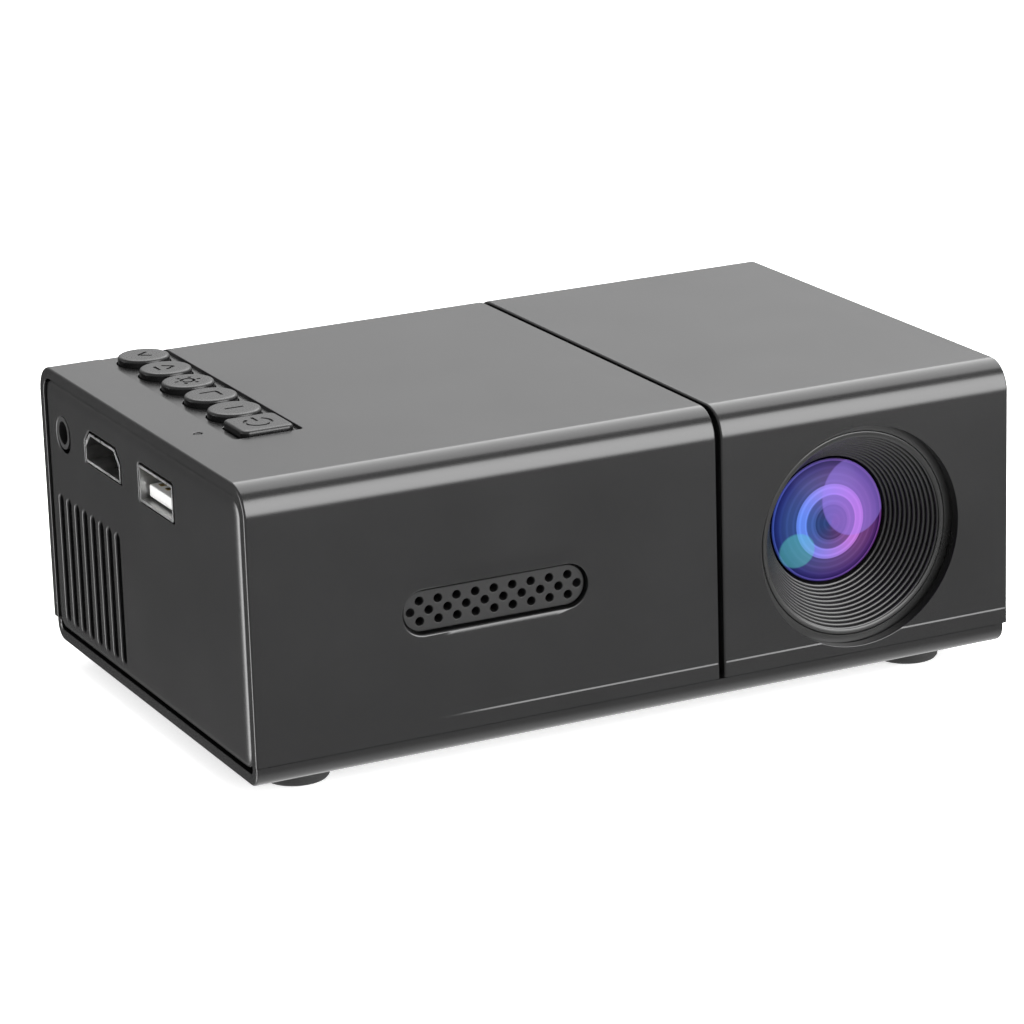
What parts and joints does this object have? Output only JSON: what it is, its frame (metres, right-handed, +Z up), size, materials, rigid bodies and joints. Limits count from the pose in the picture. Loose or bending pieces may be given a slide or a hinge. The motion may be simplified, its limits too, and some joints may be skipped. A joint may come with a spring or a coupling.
{
  "type": "home projector",
  "caption": "Compact box-shaped home projector with a ribbed focusing lens, a speaker grille, top keys, side sockets and cooling vents.",
  "frame": {"origin": "centre of the bounding box on the plane the rubber feet stand on", "axes": "+Z up, +X along the long side from the port panel to the vent panel, the lens and the speaker grille face -Y"},
  "size_m": [0.126, 0.082, 0.0491],
  "materials": {
    "case_plastic": "fine satin grain, charcoal",
    "grille_plastic": "satin, charcoal",
    "key_plastic": "satin, charcoal, engraved symbols",
    "ring_plastic": "satin black, ribbed",
    "black_plastic": "moulded black",
    "white_plastic": "moulded white",
    "clear_plastic": "clear acrylic",
    "rubber": "soft black",
    "zinc_steel": "zinc plated",
    "plated_steel": "tin plated sheet",
    "brass": "turned",
    "circuit_board": "solder mask over glass fibre",
    "can_aluminium": "drawn can",
    "cone_paper": "coated paper",
    "coated_glass": "violet anti-reflection coating",
    "clear_glass": "polished",
    "lcd_glass": "polarised panel",
    "bright_aluminium": "polished reflector",
    "led_phosphor": "silicone over phosphor",
    "board_aluminium": "metal-core board",
    "sink_aluminium": "extruded fins"
  },
  "bodies": {
    "casing": {"main_cover": "case_plastic", "lens_cover": "case_plastic", "bottom_shell": "case_plastic", "port_panel": "case_plastic", "vent_panel": "case_plastic", "speaker_grille": "grille_plastic", "foot_front_left": "rubber", "case_screw_front_left": "zinc_steel", "foot_front_right": "rubber", "case_screw_front_right": "zinc_steel", "foot_rear_left": "rubber", "case_screw_rear_left": "zinc_steel", "foot_rear_right": "rubber", "case_screw_rear_right": "zinc_steel", "tripod_nut": "brass", "power_switch": "black_plastic", "round_switch_1": "black_plastic", "round_switch_2": "black_plastic", "round_switch_3": "black_plastic", "round_switch_4": "black_plastic", "round_switch_5": "black_plastic", "light_pipe": "clear_plastic", "main_board": "circuit_board", "hdmi_socket": "plated_steel", "usb_socket": "plated_steel", "card_slot": "plated_steel", "hdmi_tongue": "black_plastic", "av_jack": "black_plastic", "power_jack": "black_plastic", "scaler_chip": "black_plastic", "fan_frame": "black_plastic", "guide_tube": "black_plastic", "optical_box": "black_plastic", "usb_tongue": "white_plastic", "capacitor": "can_aluminium", "speaker_frame": "zinc_steel", "speaker_magnet": "zinc_steel", "speaker_cone": "cone_paper", "condenser_lens": "clear_glass", "heat_glass": "clear_glass", "fresnel_front": "clear_plastic", "fresnel_rear": "clear_plastic", "lcd_panel": "lcd_glass", "light_funnel": "bright_aluminium", "led_chip": "led_phosphor", "led_board": "board_aluminium", "heat_sink": "sink_aluminium"},
    "power_key": {"power_key": "key_plastic"},
    "round_key_1": {"round_key_1": "key_plastic"},
    "round_key_2": {"round_key_2": "key_plastic"},
    "round_key_3": {"round_key_3": "key_plastic"},
    "round_key_4": {"round_key_4": "key_plastic"},
    "round_key_5": {"round_key_5": "key_plastic"},
    "focus_ring": {"focus_ring": "ring_plastic"},
    "lens_barrel": {"lens_cell": "black_plastic", "front_lens": "coated_glass", "rear_lens": "clear_glass"},
    "fan_rotor": {"fan_rotor": "black_plastic"}
  },
  "joints": [
    {"name": "power_key_press", "type": "slide", "parent": "casing", "child": "power_key", "axis": [0, 0, -1], "range_m": [0, 0.0003], "stiffness_N_per_m": 1500},
    {"name": "round_key_1_press", "type": "slide", "parent": "casing", "child": "round_key_1", "axis": [0, 0, -1], "range_m": [0, 0.0003], "stiffness_N_per_m": 1500},
    {"name": "round_key_2_press", "type": "slide", "parent": "casing", "child": "round_key_2", "axis": [0, 0, -1], "range_m": [0, 0.0003], "stiffness_N_per_m": 1500},
    {"name": "round_key_3_press", "type": "slide", "parent": "casing", "child": "round_key_3", "axis": [0, 0, -1], "range_m": [0, 0.0003], "stiffness_N_per_m": 1500},
    {"name": "round_key_4_press", "type": "slide", "parent": "casing", "child": "round_key_4", "axis": [0, 0, -1], "range_m": [0, 0.0003], "stiffness_N_per_m": 1500},
    {"name": "round_key_5_press", "type": "slide", "parent": "casing", "child": "round_key_5", "axis": [0, 0, -1], "range_m": [0, 0.0003], "stiffness_N_per_m": 1500},
    {"name": "focus_turn", "type": "hinge", "parent": "casing", "child": "focus_ring", "pos_m": [0.0369, -0.03, 0.02505], "axis": [0, 1, 0], "range_deg": [-45, 45]},
    {"name": "lens_travel", "type": "slide", "parent": "casing", "child": "lens_barrel", "axis": [0, 1, 0], "range_m": [-0.0015, 0.0015]},
    {"name": "fan_spin", "type": "hinge", "parent": "casing", "child": "fan_rotor", "pos_m": [-0.058, 0.0225, 0.0213], "axis": [1, 0, 0], "continuous": true}
  ],
  "couplings": [
    {"joint": "lens_travel", "follows": "focus_turn", "m_per_rad": 0.0019099}
  ]
}
